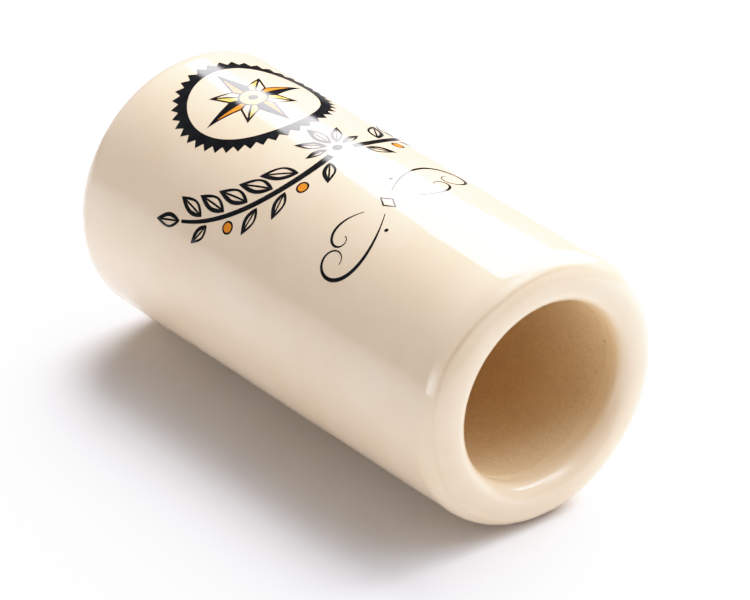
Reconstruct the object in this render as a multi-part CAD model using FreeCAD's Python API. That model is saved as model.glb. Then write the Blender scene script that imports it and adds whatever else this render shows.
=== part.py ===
import FreeCAD, Part
import math
import os

# Glazed ceramic guitar slide: a thick-walled sleeve worn on one finger, with prints fired
# into its glaze.
# Frame: +X along the bore, +Z up with the sleeve lying on its side, origin on the bore
# axis at mid-length.  All lengths in millimetres.

V = FreeCAD.Vector
os.makedirs("parts", exist_ok=True)

# --- sleeve ---
OUTER_D = 32.0
LENGTH = 65.0
BORE_D = 21.5        # bare, unglazed finger bore
RIM_ROUND = 3.2      # rounding of the outer rim at both ends
LIP_ROUND = 1.5      # rounding of the lip into the bore at both ends
GLAZE_T = 0.30       # thickness of the glaze coat
MOUTH_GLAZE = 3.2    # how far the glaze runs into each mouth
PRINT_T = 0.05       # depth of the prints in the glaze

OUTER_R = OUTER_D / 2
BORE_R = BORE_D / 2
HALF_LENGTH = LENGTH / 2
GLAZE_END_X = HALF_LENGTH - MOUTH_GLAZE   # where the glaze ends inside a mouth

# --- building a print from flat artwork ---
PLANE_LIFT = 1.0     # height of the flattened artwork above the wall
EXTRUDE_EXTRA = 1.8  # extrusion depth beyond the wall's fall under the artwork

# Artwork is drawn flat in points (x, s): x along the sleeve, s the arc length around the
# wall from the top line, positive towards -Y.

# --- emblem: toothed ring and compass star ---
EMBLEM = (-18.1, 0.9)   # centre
RING_INNER_R = 7.55
RING_OUTER_R = 8.65     # under the teeth
TOOTH_H = 0.85
TEETH = 40
STAR_LONG = 6.85        # tip radius of the four long points
STAR_SHORT = 5.10       # tip radius of the four short points
STAR_WAIST = 2.85       # waist radius between points
STAR_LINE = 0.26        # line width in the star
HUB_R = 1.75            # outer radius of the star's hub ring
HUB_DOT_R = 0.60

# --- palmette: five petals opening towards the ring ---
PALMETTE_FOOT = (-2.9, EMBLEM[1])
FOOT_DOT_R = 0.62
PETAL_GAP = 1.12        # from the foot's centre to a petal's base
PETAL_PITCH = math.radians(35)
PETAL_LENGTHS = (4.5, 3.9, 2.8)      # middle petal first
PETAL_WIDTHS = (1.60, 1.42, 1.15)
PETAL_LINE = 0.30
PETAL_BEND = 0.15       # sideways sweep of the tip, per petal from the middle

# --- wreath: two mirrored branches ---
# Bezier control points of a stem's centre line: x, s from the emblem's centre.
STEM_CONTROL = ((-2.1, 1.55), (-0.6, 8.4), (-6.4, 15.0), (-13.6, 17.2))
STEM_FOOT_HALF_W = 0.50
STEM_TIP_HALF_W = 0.20
STEM_STATIONS = 9
# Where leaves and berries sit, as fractions of the stem.
INNER_LEAVES = (0.21, 0.385, 0.55, 0.705, 0.86)   # on the ring's side of the stem
OUTER_LEAVES = (0.05, 0.33, 0.50, 0.82)
BERRIES = (0.245, 0.685)                          # on the outer side
LEAF_L = 4.6
LEAF_W = 2.05
LEAF_LINE = 0.33
LEAF_GAP = 0.26         # between a stem's edge and a leaf's base
LEAF_BEND = 0.35
INNER_SCALE = 1.06
OUTER_SCALE = 0.78
TIP_LEAF_SCALE = 0.84
TIP_LEAF_GAP = 0.28
BERRY_R = 0.80
BERRY_LINE = 0.24
BERRY_GAP = 0.34

# --- flourish: a lozenge between two scroll groups, one a half-turn of the other ---
FLOURISH = (9.7, 3.9)   # centre
LOZENGE = ((-1.5, 0.0), (0.0, 0.8), (1.5, 0.0), (0.0, -0.8))   # x, s from the centre
LOZENGE_LINE = 0.22
DOT_OFFSET = (3.35, 3.1)
DOT_R = 0.26
# Start is x, s from the centre.  The heading, in degrees from +s towards -X, changes by
# even_turn along the whole scroll and by late_turn weighted towards its end.
SCROLLS = (
    dict(start=(1.25, 1.5), length=18.5, heading=-38.0, even_turn=70.0, late_turn=335.0,
         power=3.0, count=26, end_width=0.13, mid_width=0.50),
    dict(start=(-1.05, 2.6), length=8.6, heading=38.0, even_turn=-62.0, late_turn=-250.0,
         power=3.2, count=18, end_width=0.11, mid_width=0.36),
)


# ---------------------------------------------------------------------------
# Sleeve: profiles drawn in the XZ half plane and revolved about X
# ---------------------------------------------------------------------------
def arc(x, z, radius, start, end):
    points = []
    for degrees in (start, 0.5 * (start + end), end):
        angle = math.radians(degrees)
        points.append(V(x + radius * math.cos(angle), 0, z + radius * math.sin(angle)))
    return Part.Arc(*points).toShape()


def line(start, end):
    return Part.makeLine(V(start[0], 0, start[1]), V(end[0], 0, end[1]))


def revolve(edges):
    wire = Part.Wire(Part.__sortEdges__(edges))
    return Part.Face(wire).revolve(V(0, 0, 0), V(1, 0, 0), 360)


def wall_outline(offset):
    """Outline from the -X mouth, over the outside, to the +X mouth, moved into the wall
    by offset; the mouth runs stop at the glaze line."""
    rim_x = HALF_LENGTH - RIM_ROUND
    rim_z = OUTER_R - RIM_ROUND
    rim_r = RIM_ROUND - offset
    lip_x = HALF_LENGTH - LIP_ROUND
    lip_z = BORE_R + LIP_ROUND
    lip_r = LIP_ROUND - offset
    end_x = HALF_LENGTH - offset
    inside = BORE_R + offset
    outside = OUTER_R - offset
    return [
        line((-GLAZE_END_X, inside), (-lip_x, inside)),
        arc(-lip_x, lip_z, lip_r, 270, 180),
        line((-end_x, lip_z), (-end_x, rim_z)),
        arc(-rim_x, rim_z, rim_r, 180, 90),
        line((-rim_x, outside), (rim_x, outside)),
        arc(rim_x, rim_z, rim_r, 90, 0),
        line((end_x, rim_z), (end_x, lip_z)),
        arc(lip_x, lip_z, lip_r, 0, -90),
        line((lip_x, inside), (GLAZE_END_X, inside)),
    ]


def make_bisque():
    """Porous body: bare bore, stepped back by the glaze thickness at both mouths."""
    step = BORE_R + GLAZE_T
    return revolve(wall_outline(GLAZE_T) + [
        line((-GLAZE_END_X, step), (-GLAZE_END_X, BORE_R)),
        line((-GLAZE_END_X, BORE_R), (GLAZE_END_X, BORE_R)),
        line((GLAZE_END_X, BORE_R), (GLAZE_END_X, step)),
    ])


def make_glaze(prints):
    """Coat over the outside wall, rims and mouths, relieved where a print lies in it."""
    coat = revolve(wall_outline(0.0) + wall_outline(GLAZE_T) + [
        line((x, BORE_R), (x, BORE_R + GLAZE_T)) for x in (-GLAZE_END_X, GLAZE_END_X)
    ])
    return max(coat.cut(prints).Solids, key=lambda solid: solid.Volume)


# ---------------------------------------------------------------------------
# Flat drawing.  An outline is a list of runs, each run a list of (x, s) points that is
# smooth between its ends.
# ---------------------------------------------------------------------------
def polar(centre, radius, angle):
    return (centre[0] + radius * math.cos(angle), centre[1] + radius * math.sin(angle))


def circle(centre, radius, count=12):
    points = [polar(centre, radius, 2 * math.pi * k / count) for k in range(count)]
    return [points + [points[0]]]


def polygon(points):
    return [[point, points[(k + 1) % len(points)]] for k, point in enumerate(points)]


def inset(points, distances):
    """Convex polygon with each edge moved inwards by its own distance."""
    edges = polygon(points)
    area = sum(a[0] * b[1] - b[0] * a[1] for a, b in edges)
    turn = 1.0 if area > 0 else -1.0
    lines = []    # inward normal (x, s) and its offset from the origin
    for ((x0, s0), (x1, s1)), distance in zip(edges, distances):
        length = math.hypot(x1 - x0, s1 - s0)
        nx = -(s1 - s0) / length * turn
        ns = (x1 - x0) / length * turn
        lines.append((nx, ns, nx * x0 + ns * s0 + distance))
    corners = []
    for k in range(len(lines)):
        a, b = lines[k - 1], lines[k]
        det = a[0] * b[1] - a[1] * b[0]
        corners.append(((a[2] * b[1] - a[1] * b[2]) / det, (a[0] * b[2] - a[2] * b[0]) / det))
    return corners


def direction(start, end):
    length = math.hypot(end[0] - start[0], end[1] - start[1])
    return ((end[0] - start[0]) / length, (end[1] - start[1]) / length)


def beside(point, heading, distance):
    """Point moved square to a heading, from +x towards +s for a heading along +x."""
    return (point[0] - heading[1] * distance, point[1] + heading[0] * distance)


def ribbon(points, headings, half_widths):
    """Closed outline of a tapered band along a centre line."""
    stations = list(zip(points, headings, half_widths))
    left = [beside(point, heading, half) for point, heading, half in stations]
    right = [beside(point, heading, -half) for point, heading, half in stations]
    return [left, [left[-1], right[-1]], right[::-1], [right[0], left[0]]]


def almond(base, angle, length, width, line_width, heavy=1, bend=0.0):
    """Leaf outline and its two cells, one either side of the midrib; the line on the
    heavy side is thicker, and bend sweeps the tip sideways."""
    count = 6
    cell_start, cell_end = 0.16, 0.78    # fractions of the leaf's length
    rib = line_width * 0.36              # half-width of the midrib

    def leaf_point(u, across):
        along = length * u
        across += bend * u ** 2
        return (base[0] + along * math.cos(angle) - across * math.sin(angle),
                base[1] + along * math.sin(angle) + across * math.cos(angle))

    def half_width(u):    # fullest near 45% of the length
        return 0.5 * width * math.sin(math.pi * u ** 0.86)

    def cell_station(v):
        return cell_start + (cell_end - cell_start) * v

    stations = [k / (count - 1) for k in range(count)]
    upper = [leaf_point(u, half_width(u)) for u in stations]
    lower = [leaf_point(u, -half_width(u)) for u in stations]
    cells = []
    for side in (1, -1):
        edge = line_width * (1.5 if side == heavy else 0.85)
        far = [leaf_point(cell_start, side * rib)]
        for v in stations[1:-1]:
            u = cell_station(v)
            depth = max(0.03, half_width(u) - edge - rib) * math.sin(math.pi * v) ** 0.6
            far.append(leaf_point(u, side * (rib + depth)))
        far.append(leaf_point(cell_end, side * rib))
        near = [leaf_point(cell_station(k / 3), side * rib) for k in (1, 2)]
        near = [far[0]] + near + [far[-1]]
        cells.append([far, near[::-1]])
    return [upper, lower[::-1]], cells


# ---------------------------------------------------------------------------
# Artwork: each function returns regions as (print, outer outline, holes)
# ---------------------------------------------------------------------------
def ring_regions():
    teeth = []
    for k in range(TEETH):
        teeth.append(polar(EMBLEM, RING_OUTER_R, 2 * math.pi * k / TEETH))
        teeth.append(polar(EMBLEM, RING_OUTER_R + TOOTH_H, 2 * math.pi * (k + 0.5) / TEETH))
    return [("line", polygon(teeth), [circle(EMBLEM, RING_INNER_R, 24)])]


def star_regions():
    """Eight points round a hub.  Long points have one amber facet and one of solid line;
    short points have one yellow facet and one open."""
    star, amber, yellow, unfilled = [], [], [], []
    margins = [STAR_LINE / 2, STAR_LINE, STAR_LINE / 2, STAR_LINE * 0.1]
    for k in range(8):
        is_long = k % 2 == 0
        angle = math.pi * k / 4
        tip = polar(EMBLEM, STAR_LONG if is_long else STAR_SHORT, angle)
        star += [tip, polar(EMBLEM, STAR_WAIST, angle + math.pi / 8)]
        for side in (-1, 1):
            if is_long and side > 0:
                continue
            waist = angle + side * math.pi / 8
            facet = [polar(EMBLEM, HUB_R, angle), tip,
                     polar(EMBLEM, STAR_WAIST, waist), polar(EMBLEM, HUB_R, waist)]
            group = amber if is_long else yellow if side < 0 else unfilled
            group.append(polygon(inset(facet, margins)))
    hub = circle(EMBLEM, HUB_R - STAR_LINE)
    dot = circle(EMBLEM, HUB_DOT_R)
    return ([("line", polygon(star), amber + yellow + unfilled + [hub]), ("line", dot, [])]
            + [("amber", cell, []) for cell in amber]
            + [("yellow", cell, []) for cell in yellow]
            + [("yellow", hub, [dot])])


def palmette_regions():
    regions = []
    for k in range(-2, 3):
        angle = math.pi - k * PETAL_PITCH
        outer, cells = almond(
            polar(PALMETTE_FOOT, PETAL_GAP, angle), angle, PETAL_LENGTHS[abs(k)],
            PETAL_WIDTHS[abs(k)], PETAL_LINE, heavy=1 if k > 0 else -1, bend=-PETAL_BEND * k)
        regions.append(("line", outer, cells))
    return regions + [("line", circle(PALMETTE_FOOT, FOOT_DOT_R), [])]


def stem_point(u):
    weights = ((1 - u) ** 3, 3 * u * (1 - u) ** 2, 3 * u * u * (1 - u), u ** 3)
    x = sum(weight * point[0] for weight, point in zip(weights, STEM_CONTROL))
    s = sum(weight * (EMBLEM[1] + point[1]) for weight, point in zip(weights, STEM_CONTROL))
    return (x, s)


def stem_heading(u):
    step = 1e-4
    return direction(stem_point(max(0, u - step)), stem_point(min(1, u + step)))


def stem_half_width(u):
    return STEM_FOOT_HALF_W + (STEM_TIP_HALF_W - STEM_FOOT_HALF_W) * u


def stem_leaf(u, side):
    """Leaf at a fraction of the stem; side is 1 towards the ring, -1 away from it."""
    heading = stem_heading(u)
    spread = math.radians(47 - 10 * u + (4 if side > 0 else 0))
    scale = (INNER_SCALE if side > 0 else OUTER_SCALE) * (1.0 - 0.32 * max(0.0, u - 0.45))
    base = beside(stem_point(u), heading, side * (stem_half_width(u) + LEAF_GAP))
    return almond(base, math.atan2(heading[1], heading[0]) + side * spread, LEAF_L * scale,
                  LEAF_W * (0.40 + 0.5 * scale), LEAF_LINE, heavy=-side,
                  bend=-side * LEAF_BEND)


def tip_leaf():
    angle = math.atan2(stem_heading(1.0)[1], stem_heading(1.0)[0])
    return almond(polar(stem_point(1.0), TIP_LEAF_GAP, angle), angle,
                  LEAF_L * TIP_LEAF_SCALE, LEAF_W * TIP_LEAF_SCALE, LEAF_LINE)


def mirrored(runs):
    """Outline reflected across the emblem's centre line along the sleeve."""
    return [[(x, 2 * EMBLEM[1] - s) for x, s in run] for run in runs]


def wreath_regions():
    stations = [k / (STEM_STATIONS - 1) for k in range(STEM_STATIONS)]
    stem = ribbon([stem_point(u) for u in stations], [stem_heading(u) for u in stations],
                  [stem_half_width(u) for u in stations])
    branch = [(stem, [])]
    branch += [stem_leaf(u, 1) for u in INNER_LEAVES]
    branch += [stem_leaf(u, -1) for u in OUTER_LEAVES]
    branch.append(tip_leaf())
    regions = []
    for outer, cells in branch:
        regions.append(("line", outer, cells))
        regions.append(("line", mirrored(outer), [mirrored(cell) for cell in cells]))
    for u in BERRIES:
        offset = stem_half_width(u) + BERRY_GAP + BERRY_R
        x, s = beside(stem_point(u), stem_heading(u), -offset)
        for centre in ((x, s), (x, 2 * EMBLEM[1] - s)):
            fill = circle(centre, BERRY_R - BERRY_LINE)
            regions.append(("line", circle(centre, BERRY_R), [fill]))
            regions.append(("amber", fill, []))
    return regions


def scroll(start, length, heading, even_turn, late_turn, power, count, end_width, mid_width):
    """Centre line and half-widths of a scroll, walked in short straight steps."""
    substeps = 12    # per kept point
    total = (count - 1) * substeps
    step = length / total
    x, s = start
    points = [start]
    for k in range(total):
        u = (k + 0.5) / total
        angle = math.radians(heading + even_turn * u + late_turn * u ** power)
        s += step * math.cos(angle)
        x -= step * math.sin(angle)
        if (k + 1) % substeps == 0:
            points.append((x, s))
    half_widths = []
    for k in range(count):
        swell = math.sin(math.pi * min(1.0, k / (count - 1) * 1.02)) ** 1.5
        half_widths.append((end_width + (mid_width - end_width) * swell) / 2)
    return points, half_widths


def flourish_point(offset, side=1):
    return (FLOURISH[0] + side * offset[0], FLOURISH[1] + side * offset[1])


def flourish_regions():
    regions = []
    for side in (1, -1):
        for shape in SCROLLS:
            points, half_widths = scroll(**shape)
            points = [flourish_point(point, side) for point in points]
            headings = [direction(points[max(0, k - 1)], points[min(len(points) - 1, k + 1)])
                        for k in range(len(points))]
            regions.append(("flourish", ribbon(points, headings, half_widths), []))
        regions.append(("flourish", circle(flourish_point(DOT_OFFSET, side), DOT_R, 10), []))
    lozenge = [flourish_point(corner) for corner in LOZENGE]
    hole = polygon(inset(lozenge, [LOZENGE_LINE] * 4))
    return regions + [("flourish", polygon(lozenge), [hole])]


# ---------------------------------------------------------------------------
# Prints: flat regions projected into the top PRINT_T of the wall
# ---------------------------------------------------------------------------
def make_print_shell():
    axis = V(1, 0, 0)
    outer = Part.makeCylinder(OUTER_R, LENGTH, V(-HALF_LENGTH, 0, 0), axis)
    inner = Part.makeCylinder(OUTER_R - PRINT_T, LENGTH + 2, V(-HALF_LENGTH - 1, 0, 0), axis)
    return outer.cut(inner)


def flatten(x, s, facing):
    """Artwork point on a plane just above the wall, parallel to its tangent at the angle
    facing (from +Z towards -Y)."""
    across = OUTER_R * math.sin(s / OUTER_R - facing)
    up = OUTER_R + PLANE_LIFT
    return V(x, -across * math.cos(facing) - up * math.sin(facing),
             -across * math.sin(facing) + up * math.cos(facing))


def run_edges(run, facing, smooth):
    if len(run) == 2:
        (x0, s0), (x1, s1) = run
        if math.hypot(x1 - x0, s1 - s0) > 2.0 and abs(s1 - s0) > 0.5:
            # a long straight run bends a little when it is flattened
            run = [(x0 + (x1 - x0) * k / 4, s0 + (s1 - s0) * k / 4) for k in range(5)]
    points = [flatten(x, s, facing) for x, s in run]
    if len(points) == 2 or not smooth:
        return [Part.makeLine(a, b) for a, b in zip(points, points[1:])]
    curve = Part.BSplineCurve()
    if points[0].distanceToPoint(points[-1]) < 1e-7:
        curve.interpolate(points[:-1], PeriodicFlag=True)
    else:
        curve.interpolate(points)
    return [curve.toShape()]


def print_solids(outer, holes, shell):
    around = [s for run in outer for _, s in run]
    half_angle = 0.5 * (max(around) - min(around)) / OUTER_R
    facing = 0.5 * (min(around) + max(around)) / OUTER_R
    depth = OUTER_R * (1 - math.cos(half_angle)) + EXTRUDE_EXTRA
    inward = V(0, math.sin(facing), -math.cos(facing))
    # a region whose smooth outline can't be cut is cut with a straight-sided one
    for smooth in (True, False):
        wires = [Part.Wire([edge for run in runs for edge in run_edges(run, facing, smooth)])
                 for runs in [outer] + holes]
        face = Part.makeFace(wires, "Part::FaceMakerBullseye")
        solids = face.extrude(inward * depth).common(shell).Solids
        if sum(solid.Volume for solid in solids) > 0.9 * face.Area * PRINT_T:
            return solids
    raise RuntimeError("a print region could not be built")


def make_prints():
    shell = make_print_shell()
    solids = {"line": [], "amber": [], "yellow": [], "flourish": []}
    regions = (ring_regions() + star_regions() + palmette_regions() + wreath_regions()
               + flourish_regions())
    for key, outer, holes in regions:
        solids[key] += print_solids(outer, holes, shell)
    return {key: Part.makeCompound(group) for key, group in solids.items()}


prints = make_prints()
nodes = {
    "bisque_tube": make_bisque(),
    "glaze_coat": make_glaze(list(prints.values())),
    "emblem_line_print": prints["line"],
    "emblem_amber_print": prints["amber"],
    "emblem_yellow_print": prints["yellow"],
    "flourish_print": prints["flourish"],
}
for name, shape in nodes.items():
    shape.exportStep("parts/" + name + ".step")
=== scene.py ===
"""Glazed ceramic guitar slide with a printed emblem and flourish.

The tube lies on the floor with its bore along X, centred on the origin, +Z up.
Lengths are millimetres unless noted; meshes are written in metres.  A place on
the wall is (x, arc): x along the bore, arc the length round the wall from the
top line, growing towards -Y.  Side -1 is the mouth at -X, side 1 the one at +X.
"""
import math

import bpy
import numpy as np
from mathutils import Matrix, Vector, geometry


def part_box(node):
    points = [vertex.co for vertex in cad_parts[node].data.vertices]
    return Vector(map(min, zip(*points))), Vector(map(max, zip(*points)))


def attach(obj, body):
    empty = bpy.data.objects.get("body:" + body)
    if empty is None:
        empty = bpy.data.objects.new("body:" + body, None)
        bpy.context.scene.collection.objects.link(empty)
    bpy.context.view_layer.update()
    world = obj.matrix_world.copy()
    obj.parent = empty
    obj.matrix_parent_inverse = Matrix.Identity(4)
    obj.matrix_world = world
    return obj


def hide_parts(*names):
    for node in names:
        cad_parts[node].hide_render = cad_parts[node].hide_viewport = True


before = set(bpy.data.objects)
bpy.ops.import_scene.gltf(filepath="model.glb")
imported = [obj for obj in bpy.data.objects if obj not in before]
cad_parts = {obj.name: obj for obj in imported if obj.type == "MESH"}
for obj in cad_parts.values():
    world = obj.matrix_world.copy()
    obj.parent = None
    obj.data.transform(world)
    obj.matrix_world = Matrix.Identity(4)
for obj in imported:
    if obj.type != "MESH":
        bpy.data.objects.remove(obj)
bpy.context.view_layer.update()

# ---------------------------------------------------------------------------
# Sizes
# ---------------------------------------------------------------------------
MM = 0.001
glaze_low, glaze_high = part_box("glaze_coat")
bisque_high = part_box("bisque_tube")[1]
HALF_LENGTH = round((glaze_high[0] - glaze_low[0]) / MM, 1) / 2.0
RADIUS = round((glaze_high[2] - glaze_low[2]) / MM, 1) / 2.0
GLAZE = round((glaze_high[0] - bisque_high[0]) / MM, 2)   # glaze thickness
BORE = 10.75                     # bore radius
RIM_ROUND = 3.2                  # rounding from the wall to the end face
LIP_ROUND = 1.9                  # rounding from the end face into the bore
RIM_CENTRE = RADIUS - RIM_ROUND  # radius at which the rim rounding is centred
LIP_CENTRE = BORE + LIP_ROUND    # radius at which the lip rounding is centred
MOUTH_GLAZE = 3.35               # usual depth of the glaze in a mouth
AROUND = 300                     # points around the wall

# Emblem: toothed ring, star, palmette and a two-branch wreath
EMBLEM_X = -18.1
EMBLEM_ARC = 0.9
RING_INNER = 7.55
RING_OUTER = 8.65                # under the teeth
TOOTH_HEIGHT = 0.85
TEETH = 40
STAR_LONG = 6.85                 # tip radius of the four long points
STAR_SHORT = 5.10                # tip radius of the four short points
STAR_WAIST = 2.85                # waist radius between points
STAR_LINE = 0.26                 # line width
HUB_RADIUS = 1.75
HUB_DOT = 0.60
PALMETTE_X = -2.9                # foot of the petals
PALMETTE_DOT = 0.62
PETAL_GAP = 1.12                 # from the foot to the start of a petal
PETAL_ANGLE = math.radians(35)   # between neighbouring petals
PETAL_LINE = 0.30
PETALS = ((4.5, 1.60), (3.9, 1.42), (2.8, 1.15))  # length, width; middle one first
LEAF_LENGTH = 4.6
LEAF_WIDTH = 2.05
LEAF_LINE = 0.33
LEAF_GAP = 0.26                  # between stem and leaf
TIP_LEAF_SCALE = 0.84
TIP_LEAF_GAP = 0.28
BERRY_RADIUS = 0.80
BERRY_LINE = 0.24
BERRY_GAP = 0.34
STEM_FOOT, STEM_TIP = 0.50, 0.20  # half-widths
# Bezier control points (x, arc) of the stem on the +arc side
STEM = [(-2.1, EMBLEM_ARC + 1.55), (-0.6, EMBLEM_ARC + 8.4),
        (-6.4, EMBLEM_ARC + 15.0), (-13.6, EMBLEM_ARC + 17.2)]
# place along the stem (0..1), side of the stem
LEAVES = [(0.21, 1), (0.385, 1), (0.55, 1), (0.705, 1), (0.86, 1),
          (0.05, -1), (0.33, -1), (0.50, -1), (0.82, -1)]
BERRIES = (0.245, 0.685)         # places along the stem

# Flourish: a lozenge between mirrored scrolls
FLOURISH_X = 9.7
FLOURISH_ARC = 3.9
LOZENGE = (1.5, 0.8)             # half-length along x and along the arc
LOZENGE_LINE = 0.22

# Printed films
FILM_TOP, FILM_BOTTOM = 0.012, -0.030   # heights over the glaze
SPLINE_STEP = 0.22               # longest step along a curved outline
LINE_STEP = 0.4                  # longest step along a straight one
FILL_STEP = 0.42                 # spacing of points inside a region
FILL_MARGIN = 0.2                # their least distance from an outline


# ---------------------------------------------------------------------------
# Drawing.  An outline is a list of runs: two points make a straight run, more
# make a smooth one.  A region is (ink, outer outline, holes).
# ---------------------------------------------------------------------------
def circle(x, arc, radius, count):
    turns = [2 * math.pi * k / count for k in range(count)]
    points = [(x + radius * math.cos(a), arc + radius * math.sin(a)) for a in turns]
    return [points + [points[0]]]


def polygon(points):
    n = len(points)
    return [[points[k], points[(k + 1) % n]] for k in range(n)]


def heading_of(start, end):
    """Unit vector from start to end."""
    q = math.hypot(end[0] - start[0], end[1] - start[1])
    return ((end[0] - start[0]) / q, (end[1] - start[1]) / q)


def beside(point, direction, offset):
    """Point moved square to a direction."""
    return (point[0] - direction[1] * offset, point[1] + direction[0] * offset)


def inset(points, distances):
    """Convex polygon moved inwards by one distance per edge."""
    n = len(points)
    edges = [(points[k], points[(k + 1) % n]) for k in range(n)]
    area = sum(p[0] * q[1] - q[0] * p[1] for p, q in edges)
    sign = 1.0 if area > 0 else -1.0
    lines = []
    for (start, end), distance in zip(edges, distances):
        dx, dy = heading_of(start, end)
        nx, ny = -dy * sign, dx * sign
        lines.append((nx, ny, nx * start[0] + ny * start[1] + distance))
    out = []
    for k in range(n):
        a, b = lines[k - 1], lines[k]
        det = a[0] * b[1] - a[1] * b[0]
        out.append(((a[2] * b[1] - a[1] * b[2]) / det, (a[0] * b[2] - a[2] * b[0]) / det))
    return out


def band(points, directions, halves):
    """Closed outline of a line with a half-width at each point."""
    left = [beside(p, d, w) for p, d, w in zip(points, directions, halves)]
    right = [beside(p, d, -w) for p, d, w in zip(points, directions, halves)]
    return [left, [left[-1], right[-1]], right[::-1], [right[0], left[0]]]


def stroke(points, widths):
    """Closed outline of a tapered pen stroke through points."""
    n = len(points)
    directions = [heading_of(points[max(0, k - 1)], points[min(n - 1, k + 1)])
                  for k in range(n)]
    return band(points, directions, [w / 2.0 for w in widths])


def leaf(base, heading, length, width, line, heavy=1, bend=0.0):
    """Outline of a leaf and a cell either side of its midrib.  The line on the
    heavy side is thicker, and bend sweeps the tip sideways."""
    count = 6                      # points along each edge
    ca, sa = math.cos(heading), math.sin(heading)

    def place(u, v):
        v = v + bend * (u / length) ** 2
        return (base[0] + u * ca - v * sa, base[1] + u * sa + v * ca)

    def half(u):                   # half-width, fullest near 45% of the length
        return 0.5 * width * math.sin(math.pi * u ** 0.86)

    steps = [k / (count - 1.0) for k in range(count)]
    upper = [place(length * u, half(u)) for u in steps]
    lower = [place(length * u, -half(u)) for u in steps]
    cell_start, cell_end = 0.16, 0.78   # parts of the length
    rib = line * 0.36                   # half-width of the midrib
    least = 0.03                        # least width of a cell
    cells = []
    for side in (1, -1):
        edge = line * (1.5 if side == heavy else 0.85)
        outer = []
        for k, v in enumerate(steps):
            u = cell_start + (cell_end - cell_start) * v
            swell = math.sin(math.pi * v) ** 0.6 if 0 < k < count - 1 else 0.0
            outer.append(place(length * u,
                               side * (rib + max(least, half(u) - edge - rib) * swell)))
        inner = [place(length * (cell_start + (cell_end - cell_start) * k / 3.0), side * rib)
                 for k in range(4)]
        inner[0], inner[-1] = outer[0], outer[-1]
        cells.append([outer, inner[::-1]])
    return [upper, lower[::-1]], cells


def scroll(start, length, heading, turn, curl, power, count, end_width, mid_width):
    """Points and widths of a scroll starting at (x, arc).  Its heading, in
    degrees from +arc towards -x, changes by turn evenly and by curl late on."""
    fine = 12                      # small steps between points
    x, arc = start
    total = (count - 1) * fine
    step = length / total
    points = [(x, arc)]
    for k in range(total):
        u = (k + 0.5) / total
        h = math.radians(heading + turn * u + curl * u ** power)
        arc += step * math.cos(h)
        x -= step * math.sin(h)
        if (k + 1) % fine == 0:
            points.append((x, arc))
    widths = []
    for k in range(count):
        u = k / (count - 1.0)
        swell = math.sin(math.pi * min(1.0, u * 1.02)) ** 1.5
        widths.append(end_width + (mid_width - end_width) * swell)
    return points, widths


def polar(radius, angle):
    """Place at a radius and angle from the emblem's centre."""
    return (EMBLEM_X + radius * math.cos(angle), EMBLEM_ARC + radius * math.sin(angle))


def toothed_ring():
    points = []
    for k in range(TEETH):
        points.append(polar(RING_OUTER, 2 * math.pi * k / TEETH))
        points.append(polar(RING_OUTER + TOOTH_HEIGHT, 2 * math.pi * (k + 0.5) / TEETH))
    return [("line", polygon(points), [circle(EMBLEM_X, EMBLEM_ARC, RING_INNER, 24)])]


def star():
    """Eight points round a hub, two facets each.  Half the facets of the long
    points stay solid line; half of the short ones are bare glaze."""
    points, amber, yellow, bare = [], [], [], []
    for k in range(8):
        heading = math.pi * k / 4
        is_long = k % 2 == 0
        tip = STAR_LONG if is_long else STAR_SHORT
        points += [polar(tip, heading), polar(STAR_WAIST, heading + math.pi / 8)]
        for side in (-1, 1):
            waist = heading + side * math.pi / 8
            quad = [polar(HUB_RADIUS, heading), polar(tip, heading),
                    polar(STAR_WAIST, waist), polar(HUB_RADIUS, waist)]
            facet = inset(quad, [STAR_LINE / 2, STAR_LINE, STAR_LINE / 2, STAR_LINE * 0.1])
            if not is_long:
                (yellow if side < 0 else bare).append(polygon(facet))
            elif side < 0:
                amber.append(polygon(facet))
    hub = circle(EMBLEM_X, EMBLEM_ARC, HUB_RADIUS - STAR_LINE, 12)
    dot = circle(EMBLEM_X, EMBLEM_ARC, HUB_DOT, 12)
    return ([("line", polygon(points), amber + yellow + bare + [hub]), ("line", dot, [])]
            + [("amber", facet, []) for facet in amber]
            + [("yellow", facet, []) for facet in yellow]
            + [("yellow", hub, [dot])])


def palmette():
    """Five petals fanning from one foot towards the ring."""
    out = []
    for k in range(-2, 3):
        heading = math.pi - k * PETAL_ANGLE
        length, width = PETALS[abs(k)]
        base = (PALMETTE_X + PETAL_GAP * math.cos(heading),
                EMBLEM_ARC + PETAL_GAP * math.sin(heading))
        out.append(("line", *leaf(base, heading, length, width, PETAL_LINE,
                                  heavy=1 if k > 0 else -1, bend=-0.30 * k / 2.0)))
    out.append(("line", circle(PALMETTE_X, EMBLEM_ARC, PALMETTE_DOT, 12), []))
    return out


def stem_point(u):
    a, b, c, d = (1 - u) ** 3, 3 * u * (1 - u) ** 2, 3 * u * u * (1 - u), u ** 3
    return tuple(a * p + b * q + c * r + d * s for p, q, r, s in zip(*STEM))


def stem_at(u):
    """Point, direction and half-width of the stem, u from 0 at foot to 1 at tip."""
    e = 1e-4
    direction = heading_of(stem_point(max(0, u - e)), stem_point(min(1, u + e)))
    return stem_point(u), direction, STEM_FOOT + (STEM_TIP - STEM_FOOT) * u


def mirrored(outline):
    return [[(x, 2 * EMBLEM_ARC - arc) for x, arc in run] for run in outline]


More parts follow.
